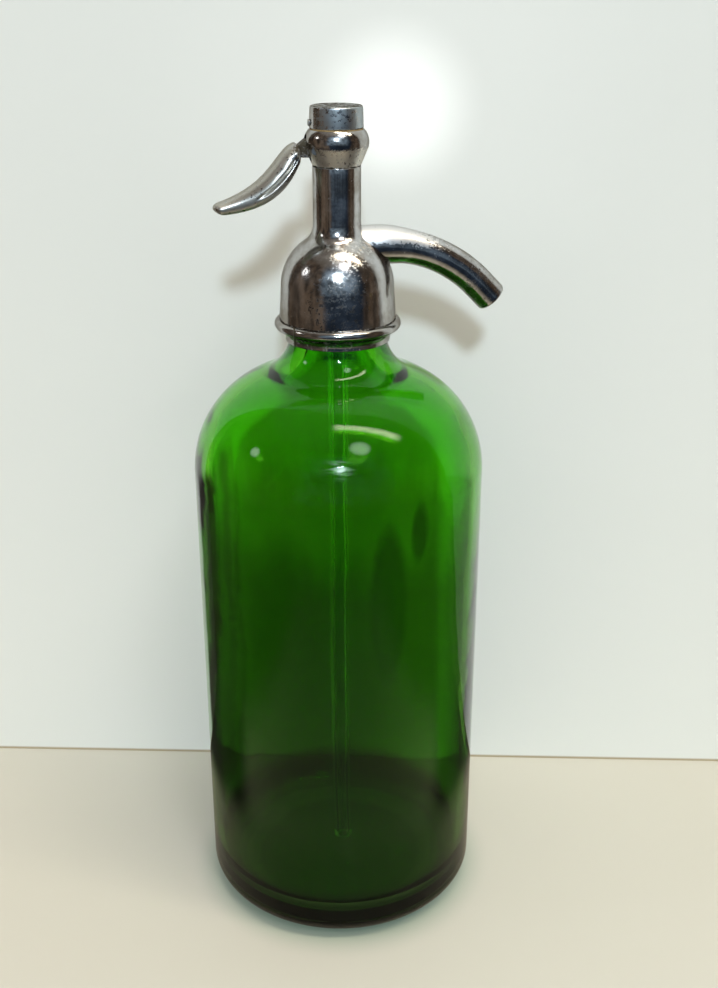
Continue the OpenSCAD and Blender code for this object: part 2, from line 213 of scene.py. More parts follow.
def cubic(p, u):
    """Points at u on the cubic curve from p[0] to p[3]:
    (1-u)^3 p0 + 3u(1-u)^2 p1 + 3u^2(1-u) p2 + u^3 p3."""
    u = u[:, None]
    return (1 - u) ** 3 * p[0] + 3 * u * (1 - u) ** 2 * p[1] + 3 * u * u * (1 - u) * p[2] + u ** 3 * p[3]


def ease(low, high, x):
    """0 below low, 1 above high, and t^2 (3 - 2t) between them."""
    t = np.clip((x - low) / (high - low), 0, 1)
    return t * t * (3 - 2 * t)


def upright(radius, low, high, count):
    """Points spread evenly between two heights on an upright line, without its ends."""
    return np.column_stack([np.full(count, radius), np.linspace(low, high, count + 2)[1:-1]])


def turned(profile, turns, start=0, sweep=360):
    """Grid of a profile carried round the Z axis: (r, z) becomes (r cos a, r sin a, z)."""
    steps = turns if sweep == 360 else turns + 1
    a = np.radians(start + sweep * np.arange(steps) / turns)[:, None]
    r, z = profile[:, 0], profile[:, 1]
    return np.stack([np.cos(a) * r, np.sin(a) * r, np.broadcast_to(z, (steps, len(z)))], axis=-1)


def surface(name, grid, wrap=(True, True), sharp=35):
    """A closed piece over a grid of points in millimetres, one quad to each cell.
    wrap closes the grid along its two directions. Points that coincide are welded, open ends get a
    flat face, faces point outwards, and edges sharper than sharp degrees stay crisp."""
    index = np.arange(grid.shape[0] * grid.shape[1]).reshape(grid.shape[:2])
    if wrap[0]:
        index = np.vstack([index, index[:1]])
    if wrap[1]:
        index = np.hstack([index, index[:, :1]])
    corners = index[:-1, :-1], index[1:, :-1], index[1:, 1:], index[:-1, 1:]
    quads = np.stack(corners, axis=-1).reshape(-1, 4)
    mesh = bpy.data.meshes.new(name)
    mesh.from_pydata((grid.reshape(-1, 3) * MM).tolist(), [], quads.tolist())
    work = bmesh.new()
    work.from_mesh(mesh)
    bmesh.ops.remove_doubles(work, verts=work.verts, dist=WELD)
    bmesh.ops.holes_fill(work, edges=work.edges)
    bmesh.ops.recalc_face_normals(work, faces=work.faces)
    work.to_mesh(mesh)
    work.free()
    return finished(name, mesh, sharp)


def finished(name, mesh, sharp):
    """The mesh as an object at the origin, smooth but for edges sharper than sharp degrees."""
    mesh.shade_smooth()
    mesh.set_sharp_from_angle(angle=math.radians(sharp))
    piece = bpy.data.objects.new(name, mesh)
    bpy.context.scene.collection.objects.link(piece)
    return piece


def bar(name, points, axis, ends):
    """A straight piece: an outline carried along an axis, 0 for x or 1 for y, from end to end."""
    grid = np.array([np.insert(points, axis, end, axis=1) for end in ends])
    return surface(name, grid, (False, True))


def lathe(name, profile, turns=240, **rest):
    """A turned piece. A profile that starts on the axis is open there, any other is a closed loop."""
    loop = profile[0, 0] > 0
    return surface(name, turned(profile, turns, **rest), (rest.get("sweep", 360) == 360, loop))


# ---------------------------------------------------------------- pieces

def bottle():
    """Blown bottle. Outside: domed push-up, elliptic heel, round shoulder, hollow throat, waisted neck
    with a rolled lip. Inside: the same form a wall's thickness further in, wandering by up to
    0.6 mm as blown glass does: r (1 + small cosines of 2a, 3a and 5a that turn with the height,
    and of the height itself)."""
    shoulder = (BODY_R - SHOULDER_R, BODY_TOP)
    throat = touching(shoulder, SHOULDER_R, NECK_R, THROAT_R)
    inner_r = BODY_R - GLASS_WALL
    inner_shoulder_r = SHOULDER_R - GLASS_WALL
    inner_throat = touching(shoulder, inner_shoulder_r, MOUTH_R, INNER_THROAT_R)
    floor_z = PUSH_UP + FLOOR_T
    dish_r = (FOOT_IN ** 2 + PUSH_UP ** 2) / (2 * PUSH_UP)
    dish_a = math.degrees(math.asin(FOOT_IN / dish_r))
    turn_a = bearing(shoulder, throat)
    inner_turn_a = bearing(shoulder, inner_throat)
    edge, mouth_edge, bend, chamfer = 1.3, 0.9, 1.4, 0.6
    outside = outline(
        arc((0, PUSH_UP - dish_r), dish_r, 90, 90 - dish_a, 12),
        arc((FOOT_OUT, HEEL_H), (BODY_R - FOOT_OUT, HEEL_H), -90, 0, 28),
        upright(BODY_R, HEEL_H, BODY_TOP, 20),
        arc(shoulder, SHOULDER_R, 0, turn_a, 48),
        arc(throat, THROAT_R, turn_a + 180, 180, 24)[1:],
        arc((NECK_R - bend, throat[1] + 0.6), bend, 0, 60, 6),
        arc((GROOVE_R + bend, GROOVE_Z + 0.4), bend, 240, 180, 6),
        [(GROOVE_R, LIP_Z - chamfer), (GROOVE_R + chamfer, LIP_Z)],
        arc((LIP_R - edge, LIP_Z + edge), edge, -90, 0, 8),
        arc((LIP_R - edge, MOUTH_Z - edge), edge, 0, 90, 8),
        arc((MOUTH_R + mouth_edge, MOUTH_Z - mouth_edge), mouth_edge, 90, 180, 6))
    inside = outline(
        arc(inner_throat, INNER_THROAT_R, 180, inner_turn_a + 180, 24),
        arc(shoulder, inner_shoulder_r, inner_turn_a, 0, 48)[1:],
        upright(inner_r, BODY_TOP, floor_z + INNER_HEEL_R, 30),
        arc((inner_r - INNER_HEEL_R, floor_z + INNER_HEEL_R), INNER_HEEL_R, 0, -90, 24),
        [(0, floor_z)])
    grid = turned(np.vstack([outside, inside]), 256)
    walls = grid[:, len(outside):]
    a = np.arctan2(walls[..., 1], walls[..., 0])
    z = walls[..., 2]
    fade = ease(40, 44, np.hypot(walls[..., 0], walls[..., 1])) * ease(floor_z, 30, z)
    wander = (0.005 * np.cos(2 * a + 0.6 + z / 60) + 0.003 * np.cos(3 * a - 1.1 - z / 35)
              + 0.002 * np.cos(5 * a + z / 22) + 0.002 * np.cos(z / 9 + 2 * np.cos(a)))
    walls[..., :2] *= (1 + fade * wander)[..., None]
    return surface("bottle_glass", grid, (True, False))


def head_outline():
    """Bell's lower edge, dome, hollow fillet and foot of the stem."""
    fillet = touching(DOME_C, DOME_R, STEM_R, STEM_FILLET)
    meet_a = bearing(DOME_C, fillet)
    edge = 0.3
    return outline(
        arc((BELL_R - edge, BELL_Z + edge), edge, -90, 0, 4),
        arc(DOME_C, DOME_R, 0, meet_a, 48),
        arc(fillet, STEM_FILLET, meet_a + 180, 180, 28)[1:],
        upright(STEM_R, fillet[1], STEM_TOP, 8))


def head():
    """Bell, dome and stem in one turned casting, with its bore."""
    profile = outline(
        head_outline(),
        arc((STEM_R - 0.4, STEM_TOP - 0.4), 0.4, 0, 90, 4),
        [(SPIGOT_R, STEM_TOP), (SPIGOT_R, SPIGOT_LOW), (BARREL_R, SPIGOT_LOW),
         (BARREL_R, BARREL_Z), (OUTLET_R, BARREL_Z), (OUTLET_R, LEDGE_Z), (STACK_R, LEDGE_Z),
         (STACK_R, STACK_LOW), (BELL_BORE_R, STACK_LOW), (BELL_BORE_R, BELL_Z)])
    return lathe("head_casting", profile, 288)


def collar_half(name, start):
    """Half a turned ring: hollow cove below, rolled bead, and a tail inside the bell."""
    cove_r = 3
    inner = GROOVE_R + 0.35
    profile = outline(
        [(NECK_R + 0.55, COLLAR_Z)],
        arc((NECK_R + 1.0, COLLAR_Z + 0.3), 0.3, -90, 0, 3),
        arc((NECK_R + 1.3 + cove_r, COLLAR_Z + 0.8), cove_r, 180, 118, 12),
        arc(BEAD_C, BEAD_R, -75, 90, 24),
        [(BELL_BORE_R - 0.1, BELL_Z), (BELL_BORE_R - 0.1, COLLAR_TOP - 0.5),
         (BELL_BORE_R - 0.6, COLLAR_TOP), (inner, COLLAR_TOP),
         (inner, GROOVE_Z + 0.6), (NECK_R + 0.3, GROOVE_Z - 2)])
    return lathe(name, profile, 120, start=start + SEAM_GAP / 2, sweep=180 - SEAM_GAP)


def spout_station(s):
    """Centre (x, z) and slope of the spout's centre line, s past the start of its bend:
    straight for s < 0, an arc of radius BEND_R to BEND_A, then straight."""
    bend_len = BEND_R * math.radians(BEND_A)
    a = np.clip(s, 0, bend_len) / BEND_R
    extra = s - np.clip(s, 0, bend_len)
    x = BEND_X + BEND_R * np.sin(a) + extra * np.cos(a)
    z = SPOUT_Z - BEND_R * (1 - np.cos(a)) - extra * np.sin(a)
    return x, z, a


def spout():
    """Bent tube. Round rings stand square to the centre line, with a radius that swells at the root by
    exp(-(s / FLARE_LEN)^2) and rounds off at the lip, and the bore runs back inside."""
    reach = BEND_R * math.radians(BEND_A) + MOUTH_LEN
    lip = 0.9
    root = SPOUT_ROOT_X - BEND_X
    s_out = np.linspace(root, reach - lip, 72)
    r_out = SPOUT_R + ROOT_FLARE * np.exp(-(np.maximum(0, s_out) / FLARE_LEN) ** 2)
    a_lip = np.radians(np.linspace(15, 90, 6))
    s = np.concatenate([s_out, reach - lip + lip * np.sin(a_lip), np.linspace(reach, root, 40)])
    r = np.concatenate([r_out, SPOUT_R - lip * (1 - np.cos(a_lip)), np.full(40, SPOUT_BORE_R)])
    x, z, slope = (v[:, None] for v in spout_station(s))
    t = np.linspace(0, 2 * math.pi, 96, endpoint=False)
    up = r[:, None] * np.sin(t)
    grid = np.stack([x + up * np.sin(slope), r[:, None] * np.cos(t), z + up * np.cos(slope)], axis=-1)
    return surface("spout_tube", grid)


def housing():
    """Round casting on the stem, turned, with its thread, its bore and a spigot that goes into the
    stem. The slot for the lever is cut after."""
    flank_a = -23
    spigot_r = SPIGOT_R - 0.05
    spigot_z = SPIGOT_LOW + 0.1
    top_a = math.degrees(math.asin((HOUSING_TOP - HOUSING_C[1]) / HOUSING_CURVE_R))
    profile = outline(
        arc((STEM_R - 0.35, STEM_TOP + 0.4), (0.45, 0.4), -90, 0, 4),
        arc(HOUSING_C, HOUSING_CURVE_R, flank_a, top_a, 40),
        [(THREAD_R, HOUSING_TOP), (THREAD_R, THREAD_TOP), (HOUSING_BORE_R, THREAD_TOP),
         (HOUSING_BORE_R, STEM_TOP + 1.4), (BARREL_R, STEM_TOP + 1), (BARREL_R, spigot_z),
         (spigot_r, spigot_z), (spigot_r, STEM_TOP)])
    body = lathe("lever_housing_casting", profile, 240)
    half = SLOT_W / 2
    slot = outline(arc((0, SLOT_LOW), half, 180, 360, 20), arc((0, SLOT_HIGH), half, 0, 180, 20))
    return joined(body, bar("slot_cutter", slot, 0, (-12, -3)), "DIFFERENCE")


def joined(body, other, operation):
    """The body with the other piece added or taken away, as a plain mesh."""
    tool = body.modifiers.new("join", "BOOLEAN")
    tool.operation = operation
    tool.object = other
    bpy.context.view_layer.update()
    result = bpy.data.meshes.new_from_object(body.evaluated_get(bpy.context.evaluated_depsgraph_get()))
    name = body.name
    bpy.data.objects.remove(body)
    bpy.data.objects.remove(other)
    return finished(name, result, 35)


def cap():
    """Screw cap: turned cup with a rounded upper edge and a top that is dished by 0.15 mm."""
    edge = 0.25
    dish = 0.15
    crown_r = CAP_R - 0.2 - CAP_EDGE_R
    profile = outline(
        [(0, CAP_TOP - dish), (crown_r * 0.6, CAP_TOP - dish * 0.7)],
        arc((crown_r, CAP_TOP - CAP_EDGE_R), CAP_EDGE_R, 90, 0, 12),
        arc((CAP_R - edge, CAP_Z + edge), edge, 0, -90, 4),
        [(THREAD_R + 0.05, CAP_Z), (THREAD_R + 0.05, THREAD_TOP + 0.4),
         (HOUSING_BORE_R - 0.1, CAP_FLOOR_Z), (0, CAP_FLOOR_Z)])
    return lathe("cap_cup", profile, 240)


def valve_spring():
    """Round wire wound along a helix from the piston to the cap. Its end turns lie closer together: at
    the share f of its length it has risen by 0.45 f^2 (3 - 2f) + 0.55 f of its height."""
    touch = SPRING_WIRE_R + 0.03
    f = np.linspace(0, 1, SPRING_TURNS * 48 + 1)[:, None]
    t = np.linspace(0, 2 * math.pi, 16, endpoint=False)
    a = 2 * math.pi * SPRING_TURNS * f
    r = SPRING_COIL_R + SPRING_WIRE_R * np.cos(t)
    rise = 0.45 * ease(0, 1, f) + 0.55 * f
    z = SPRING_LOW + touch + (CAP_FLOOR_Z - SPRING_LOW - 2 * touch) * rise + SPRING_WIRE_R * np.sin(t)
    grid = np.stack([r * np.cos(a), r * np.sin(a), z], axis=-1)
    return surface("spring_wire", grid, (False, True), sharp=60)


def lever_blade():
    """Cast blade. Its section is carried from the housing to the tip between two cubic curves, crown and
    skirt. At the angle a the section's height h is sin a and its half width |cos a|^q, with q smaller
    below the middle, drawn in along each side by a groove: 1 - depth exp(-((h + 0.2) / 0.14)^2).
    The underside is hollow, and both ends are rounded."""
    u = 0.5 - 0.5 * np.cos(np.linspace(0, math.pi, 160))
    top, low = cubic(CROWN, u), cubic(SKIRT, u)
    width = (LEVER_HALF_W * (ROOT_WIDTH + (1 - ROOT_WIDTH) * ease(0, 0.3, u))
             * (1 - (1 - TIP_WIDTH) * ease(0.45, 1, u)))
    root, tip = 0.05, 0.955
    near = 0.45 * np.sqrt(1 - (1 - np.minimum(u, root) / root) ** 2) + 0.55
    far = np.sqrt(np.clip(1 - (np.maximum(u - tip, 0) / (1 - tip)) ** 2, 0, 1))
    k = np.maximum(0.03, near * far)[:, None]
    hollow = (0.04 + 0.91 * ease(0.08, 0.2, u) * (1 - ease(0.78, 0.92, u)))[:, None]
    groove = (GROOVE_DEPTH * ease(0.02, 0.1, u) * (1 - ease(0.5, 0.7, u)))[:, None]
    a = np.radians(np.linspace(-72, 252, 110))
    h = np.sin(a)
    across = np.sign(np.cos(a)) * np.abs(np.cos(a)) ** np.where(h > 0, 0.85, 0.35)
    outside = across * (1 - groove * np.exp(-((h + 0.2) / 0.14) ** 2))
    a = np.radians(np.linspace(180, 0, 24))
    inside = np.broadcast_to(HOLLOW_SHARE * np.cos(a), (len(u), len(a)))
    height = np.hstack([np.broadcast_to(h, outside.shape), -1 + hollow * np.sin(a)])
    mid, half = (top + low) / 2, (top - low) / 2
    grid = np.stack([mid[:, :1] + k * half[:, :1] * height,
                     k * width[:, None] * np.hstack([outside, inside]),
                     mid[:, 1:] + k * half[:, 1:] * height], axis=-1)
    return surface("lever_blade", grid, (False, True), sharp=50)


def plate_of(name, points, half):
    """A flat plate over an outline in the XZ plane, from y = -half to half, with its rims rounded off."""
    soft = 0.35
    away = points - points.mean(axis=0)
    outwards = away / np.linalg.norm(away, axis=1, keepdims=True)
    stations = ((-half, soft), (-half + soft * 0.3, soft * 0.3), (-half + soft, 0),
                (half - soft, 0), (half - soft * 0.3, soft * 0.3), (half, soft))
    rings = [np.insert(points - outwards * inset, 1, y, axis=1) for y, inset in stations]
    return surface(name, np.array(rings), (False, True), sharp=50)


def lever():
    """Blade, neck, round boss about the fulcrum and the rounded finger that carries the valve."""
    body = lever_blade()
    half = NECK_W / 2
    for added in (plate_of("lever_neck", outline(NECK), half),
                  plate_of("lever_boss", arc(FULCRUM, BOSS_R, 0, 350, 35), half - 0.05),
                  plate_of("lever_finger", arc(FINGER_C, FINGER_R, 0, 348, 29), half - 0.02)):
        body = joined(body, added, "UNION")
    bore = arc(FULCRUM, PIVOT_BORE_R, 0, 345, 23)
    body = joined(body, bar("bore_cutter", bore, 1, (-NECK_W, NECK_W)), "DIFFERENCE")
    body.name = "lever_casting"
    return body


PIECES = {
    "bottle": bottle,
    "head_body": head,
    "collar_half_front": lambda: collar_half("collar_front", SEAM_BEARING + 180),
    "collar_half_back": lambda: collar_half("collar_back", SEAM_BEARING),
    "spout": spout,
    "lever_housing": housing,
    "top_cap": cap,
    "lever": lever,
    "valve_spring": valve_spring,
}

# the record's material slots and the CAD nodes that take their finish from each
SLOTS = {
    "green_glass": "bottle",
    "tube_glass": "dip_tube",
    "plated_metal": "head_body lever_housing top_cap spout",
    "collar_metal": "collar_half_front collar_half_back",
    "lever_metal": "lever",
    "pin_steel": "fulcrum_pin cap_lock_screw",
    "brass": "valve_seat valve_piston disc_screw",
    "rubber": "tube_gasket head_gasket valve_disc piston_packing",
    "fibre": "neck_cushion cap_gasket",
    "spring_steel": "valve_spring",
}


# ---------------------------------------------------------------- shader maths

class Value:
    """A node's output. Arithmetic on it adds Math nodes, with numbers or other outputs."""

    def __init__(self, tree, socket):
        self.tree = tree
        self.socket = socket

    def math(self, operation, *values):
        return self.tree.node("ShaderNodeMath", {"operation": operation}, dict(enumerate(values)))

    def __add__(self, other):
        return self.math("ADD", self, other)

    def __radd__(self, other):
        return self.math("ADD", other, self)

    def __sub__(self, other):
        return self.math("SUBTRACT", self, other)

    def __rsub__(self, other):
        return self.math("SUBTRACT", other, self)

    def __mul__(self, other):
        return self.math("MULTIPLY", self, other)

    def __rmul__(self, other):
        return self.math("MULTIPLY", other, self)

    def __truediv__(self, other):
        return self.math("DIVIDE", self, other)

    def root(self):
        return self.math("SQRT", self)

    def ramp(self, low, high):
        """0 at low, 1 at high, smooth between them. low may be above high."""
        sockets = {"Value": self, "From Min": low, "From Max": high}
        return self.tree.node("ShaderNodeMapRange", {"interpolation_type": "SMOOTHSTEP"}, sockets)

    def band(self, low, high, soft):
        """1 between low and high, with edges soft wide."""
        return self.ramp(low - soft, low + soft) * self.ramp(high + soft, high - soft)


class Tree:
    """The nodes of a material or of the world."""

    def __init__(self, owner):
        owner.use_nodes = True
        self.owner = owner
        self.nodes = owner.node_tree.nodes
        self.links = owner.node_tree.links

    def node(self, kind, settings=None, sockets=None, output=0):
        """An output of a new node of that kind, with its settings and its sockets."""
        made = self.nodes.new(kind)
        for name, value in (settings or {}).items():
            setattr(made, name, value)
        for name, value in (sockets or {}).items():
            self.feed(made.inputs[name], value)
        return Value(self, made.outputs[output])

    def feed(self, socket, value):
        if isinstance(value, Value):
            self.links.new(value.socket, socket)
        elif hasattr(value, "__len__") and socket.type == "RGBA":
            socket.default_value = (*value, 1)
        else:
            socket.default_value = value

    def mix(self, factor, a, b):
        """Colour a where factor is 0, b where it is 1."""
        settings = {"data_type": "RGBA"}
        return self.node("ShaderNodeMix", settings, {0: factor, 6: a, 7: b}, output=2)

    def vector(self, operation, a, b):
        return self.node("ShaderNodeVectorMath", {"operation": operation}, {0: a, 1: b})

    def place(self):
        """Where the surface is on the object, in millimetres."""
        spot = self.node("ShaderNodeTexCoord", output=3)
        return self.vector("MULTIPLY", spot, (1000, 1000, 1000))

    def split(self, vector):
        parts = self.node("ShaderNodeSeparateXYZ", sockets={0: vector}).socket.node.outputs
        return [Value(self, part) for part in parts]

    def seen(self, where):
        """Where a place is as the photograph shows it: across, away and up."""
        settings = {"rotation_type": "Z_AXIS"}
        sockets = {"Vector": where, "Angle": math.radians(VIEW_TURN)}
        return self.split(self.node("ShaderNodeVectorRotate", settings, sockets))

    def ray(self, kind):
        """1 for rays of that kind, such as Is Camera Ray."""
        return Value(self, self.node("ShaderNodeLightPath").socket.node.outputs[kind])

    def noise(self, where, size, detail=3, roughness=0.5, stretch=(1, 1, 1)):
        """Noise around 0.5 with cells about size millimetres wide, divided by stretch along each axis."""
        scaled = self.vector("MULTIPLY", where, tuple(s / size for s in stretch))
        sockets = {"Vector": scaled, "Scale": 1, "Detail": detail, "Roughness": roughness}
        return self.node("ShaderNodeTexNoise", sockets=sockets)

    def bump(self, height, distance, strength=1.0, normal=None):
        """Normal of a surface raised by height times distance in millimetres."""
        sockets = {"Height": height, "Distance": distance * MM, "Strength": strength}
        if normal:
            sockets["Normal"] = normal
        return self.node("ShaderNodeBump", sockets=sockets)


class Finish(Tree):
    """A material with one shader, whose sockets are set by name."""

    def __init__(self, name, **sockets):
        super().__init__(bpy.data.materials.new(name))
        self.shader = self.nodes["Principled BSDF"]
        self.set(**sockets)

    def set(self, **sockets):
        for name, value in sockets.items():
            self.feed(self.shader.inputs[name.replace("_", " ")], value)
        return self.owner


# ---------------------------------------------------------------- finishes

def patch(u, z, centre, size, soft=0.6):
    """1 inside an ellipse of that size about centre, in millimetres, fading towards its rim."""
    du = (u - centre[0]) / size[0]
    dz = (z - centre[1]) / size[1]
    return (du * du + dz * dz).ramp(1.0, 1.0 - soft)


def near_side(away, reach=3):
    """1 on the side that the photograph shows, 0 behind, blended over that reach each way."""
    return away.ramp(reach, -reach)


def green_glass():
    """Bottle green, deeper low down, with painted shade in the foot and in streaks along both sides, a
    painted bright swath over the near side of the shoulder, painted dark lens shapes that stand in for
    the dark room seen through the glass, and greasy smears where it has been held."""
    f = Finish("green_glass", Transmission_Weight=1.0, IOR=1.5, Specular_Tint=(0.32, 0.36, 0.32))
    where = f.place()
    x, y, _ = f.split(where)
    u, away, z = f.seen(where)
    front = near_side(away, 4)
    streaks = f.noise(where, 14, 3, stretch=(1, 1, 0.25))
    deep = (0.255, 0.52, 0.09)
    bright = (0.39, 0.95, 0.10)
    shoulder = (0.31, 0.79, 0.08)
    dark = (0.20, 0.44, 0.08)
    shade = (0.16, 0.17, 0.15)
    colour = f.mix((z + (streaks - 0.5) * 40).ramp(139, 169), deep, bright)
    colour = f.mix(z.ramp(178, 192), colour, shoulder)
    sag = z - 177 - (u - 3) * (u - 3) * 0.005
    # painted light: a bright green band across the near side of the shoulder
    swath = sag.band(-4, 4, 3) * u.band(-34, 34, 8) * front
    colour = f.mix(swath * 0.7, colour, (0.44, 1.0, 0.10))
    # painted shade: dark lens shapes and a wide dark patch on the near side stand in for the dark room
    # seen through the glass
    lens = patch(u, z, (16, 138), (7, 34)) + patch(u, z, (26, 163), (3, 12))
    wide = patch(u, z, (-18, 128), (15, 44), 0.9) * 0.6
    colour = f.mix((lens + wide) * front, colour, dark)
    # painted shade: the foot and streaks down both sides are darkened where the glass shows dark
    # surroundings
    outer = (x * x + y * y).ramp(41 * 41, 44 * 44)
    left = u.band(-49.5, -43.5, 1) * z.band(28, 172, 6) * 0.8
    right = u.ramp(32, 42) * z.ramp(210, 192) * front * 0.33
    colour = f.mix((z.ramp(23, 16) + left + right) * outer, colour, shade)
    grease = f.noise(where, 22, 5, 0.65, (1, 1, 0.6)).ramp(0.5, 0.75)
    strokes = f.noise(where, 3, 4, 0.6, (0.3, 0.3, 3)).ramp(0.4, 0.6)
    wiped = patch(u, z, (-1, 187), (9, 5), 0.9) * strokes
    rough = grease * 0.05 + wiped * front * 0.22 + 0.02
    tint = {"Color": (0.30, 0.74, 0.06), "Density": 120}
    volume = f.node("ShaderNodeVolumeAbsorption", sockets=tint)
    f.feed(f.nodes["Material Output"].inputs["Volume"], volume)
    return f.set(Base_Color=colour, Roughness=rough, Normal=f.bump(f.noise(where, 16, 1), 0.15))


def tube_glass():
    """Clear tube, faintly streaked along its length."""
    f = Finish("tube_glass", Transmission_Weight=1.0, IOR=1.2)
    where = f.place()
    streaks = f.noise(where, 1.5, 3, stretch=(1, 1, 0.05))
    colour = f.mix(streaks, (0.80, 0.98, 0.78), (0.97, 1.0, 0.95))
    return f.set(Base_Color=colour, Roughness=streaks * 0.1 + 0.15)


def worn_plate(name, wear=None, grime=None, pitted=None, frost=None, bare=(0.66, 0.665, 0.67)):
    """Old nickel plate. wear, grime, pitted and frost are functions of (u, away, z), as the
    photograph shows them, that say where the brass shows, where dirt has settled, where the plate has
    pits and where it turns matt and takes the colour bare. On the housing that colour is a painted
    reflection of the table, and on the spout a painted sheen."""
    f = Finish(name, Metallic=1.0, Specular_Tint=(0.42, 0.39, 0.36))
    where = f.place()
    spot = f.seen(where)
    fine = f.noise(where, 0.8, 4, 0.7)
    cloud = f.noise(where, 7, 5, 0.65)
    mottle = f.noise(where, 2.2, 4, 0.7)
    speckle = f.noise(where, 1.1, 3, 0.7)
    marks = [mark(*spot) if mark else 0 for mark in (wear, grime, pitted, frost)]
    worn, dirty, pocked, scoured = marks
    dull = cloud.ramp(0.45, 0.75)
    pits = speckle.ramp(0.56, 0.64) * (pocked + (cloud - 0.5)).ramp(0.3, 0.7)
    brass = (worn + (mottle - 0.5) * 1.6).ramp(0.5, 0.8)
    dirt = (dirty + (mottle - 0.5) * 1.2 + (fine - 0.5) * 0.6).ramp(0.5, 0.8)
    matt = (scoured + (speckle - 0.5) * 1.6 + (mottle - 0.5) * 1.2).ramp(0.35, 0.75)
    colour = f.mix(cloud.ramp(0.35, 0.65), (0.40, 0.375, 0.35), (0.64, 0.64, 0.65))
    # where frost is set the colour turns bare: a painted reflection of the table on the housing, a
    # painted sheen on the spout
    colour = f.mix(matt, colour, bare)
    colour = f.mix(brass * 0.8, colour, (0.42, 0.32, 0.16))
    colour = f.mix(pits * 0.85, colour, (0.035, 0.03, 0.028))
    colour = f.mix(dirt, colour, (0.045, 0.038, 0.024))
    rough = (dull * 0.10 + (fine - 0.5) * 0.10 + 0.14
             + matt * 0.24 + brass * 0.2 + pits * 0.2 + dirt * 0.4)
    height = fine * 0.3 - pits * 0.4 + dirt * 0.5 - brass * 0.2 + matt * 0.3
    normal = f.bump(height, 0.03, normal=f.bump(f.noise(where, 5, 2), 0.10))
    return f.set(Base_Color=colour, Roughness=rough, Metallic=1 - dirt * 0.8, Normal=normal)


def head_wear(u, away, z):
    """Brass at the foot of the stem, in a streak down the near right, and along the bell's lower edge."""
    foot = patch(u, z, (4, 250.5), (11, 4.5), 0.9) * 0.42
    streak = patch(u, z, (10.8, 233.5), (1.0, 6)) * 0.6
    return (foot + streak) * near_side(away) + z.ramp(226.3, 225.0) * 0.35


def head_grime(u, away, z):
    """Dirt at the joint with the housing, just above the bell's edge, round the foot of the stem and
    in a dark stain on the near left."""
    stain = patch(u, z, (-11.5, 243.5), (4, 2.6), 0.7) * 0.42
    foot = patch(u, z, (5, 252), (7, 2.5), 0.9) * 0.28
    joint = z.ramp(STEM_TOP - 1, STEM_TOP) * 0.8
    return joint + z.ramp(225.6, 224.9) * 0.5 + (stain + foot) * near_side(away)


def head_pits(u, away, z):
    """Pits all over the near side of the bell, most of them low down."""
    return patch(u, z, (0, 233), (13, 13), 0.8) * near_side(away) * 1.05


def head_frost(u, away, z):
    """Scoured clouds on the near side of the bell and on top of the dome."""
    on_bell = patch(u, z, (1.5, 238), (12, 9), 0.9) * 0.32
    on_dome = patch(u, z, (5, 249), (11, 6.5), 0.9) * 0.4
    return (on_bell + on_dome) * near_side(away)


def collar_grime(u, away, z):
    """Dirt in the near seam, in the cove under the bead and in the joint with the bell."""
    seam = u.band(-14.6, -14.0, 0.15) * near_side(away) * 0.9
    cove = z.ramp(BEAD_C[1] - 1.2, BEAD_C[1] - 2.0) * 0.45
    return seam + cove + z.ramp(BELL_Z - 0.4, BELL_Z) * 0.5


def edge_wear(low, high):
    """Wear along the upper and lower edges of a piece that stands from low to high."""
    return lambda u, away, z: z.ramp(high - 0.7, high) * 0.35 + z.ramp(low + 0.7, low) * 0.5


def edge_grime(low):
    """Dirt in the joint under a piece that stands on low."""
    return lambda u, away, z: z.ramp(low + 0.8, low) * 0.8


def housing_wear(u, away, z):
    """Brown wear along the casting's fullest line and its lower edge."""
    line = patch(u, z, (-2, 281.3), (5, 0.9), 0.8) * near_side(away) * 0.5
    return line + z.ramp(STEM_TOP + 0.9, STEM_TOP + 0.2) * 0.4


def housing_matt_and_table_reflection(u, away, z):
    """Matt below the fullest line, and painted beige there: a painted reflection of the table."""
    return z.ramp(282.2, 279.6) * 0.85


def cap_frost(u, away, z):
    """Matt and bluish grey all over but for the left edge."""
    return u.ramp(-9, -4) * 0.75


def cap_grime(u, away, z):
    """Dirt all over the cap's top and in the joint below it."""
    return z.ramp(CAP_TOP - 0.6, CAP_TOP - 0.1) * 0.72 + z.ramp(CAP_Z + 0.8, CAP_Z) * 0.8


def lever_grime(u, away, z):
    """Dirt along the lever's top and at its neck."""
    top = z + u * 0.55
    return u.ramp(-15.5, -12) * 0.4 + top.ramp(269, 276) * 0.45


def lever_frost(u, away, z):
    """Dulled all along."""
    return u.ramp(-10, -16) * 0.85


def spout_pits(u, away, z):
    """Pits towards the mouth."""
    return u.ramp(34, 48) * 0.6


def spout_matt_and_sheen(u, away, z):
    """Rough and painted paler along the top, a painted sheen, from the bell to well past the start of the
    bend. The height counts from the centre line, which falls by about (u - BEND_X)^2 / (2 BEND_R) there."""
    past = u.math("MAXIMUM", u - BEND_X, 0)
    height = z - SPOUT_Z + past * past / (2 * BEND_R)
    return u.ramp(46, 18) * height.ramp(0, 2.8) * 1.1


def turned_metal(name, dark, light, roughness):
    """Turned bar: fine rings and a little tarnish."""
    f = Finish(name, Metallic=1.0)
    where = f.place()
    rings = f.noise(where, 0.3, 2, stretch=(0.02, 0.02, 1))
    tarnish = f.noise(where, 3, 4, 0.6).ramp(0.4, 0.75)
    colour = f.mix(tarnish, light, dark)
    return f.set(Base_Color=colour, Roughness=tarnish * 0.25 + (rings - 0.5) * 0.1 + roughness,
                 Normal=f.bump(rings, 0.02))


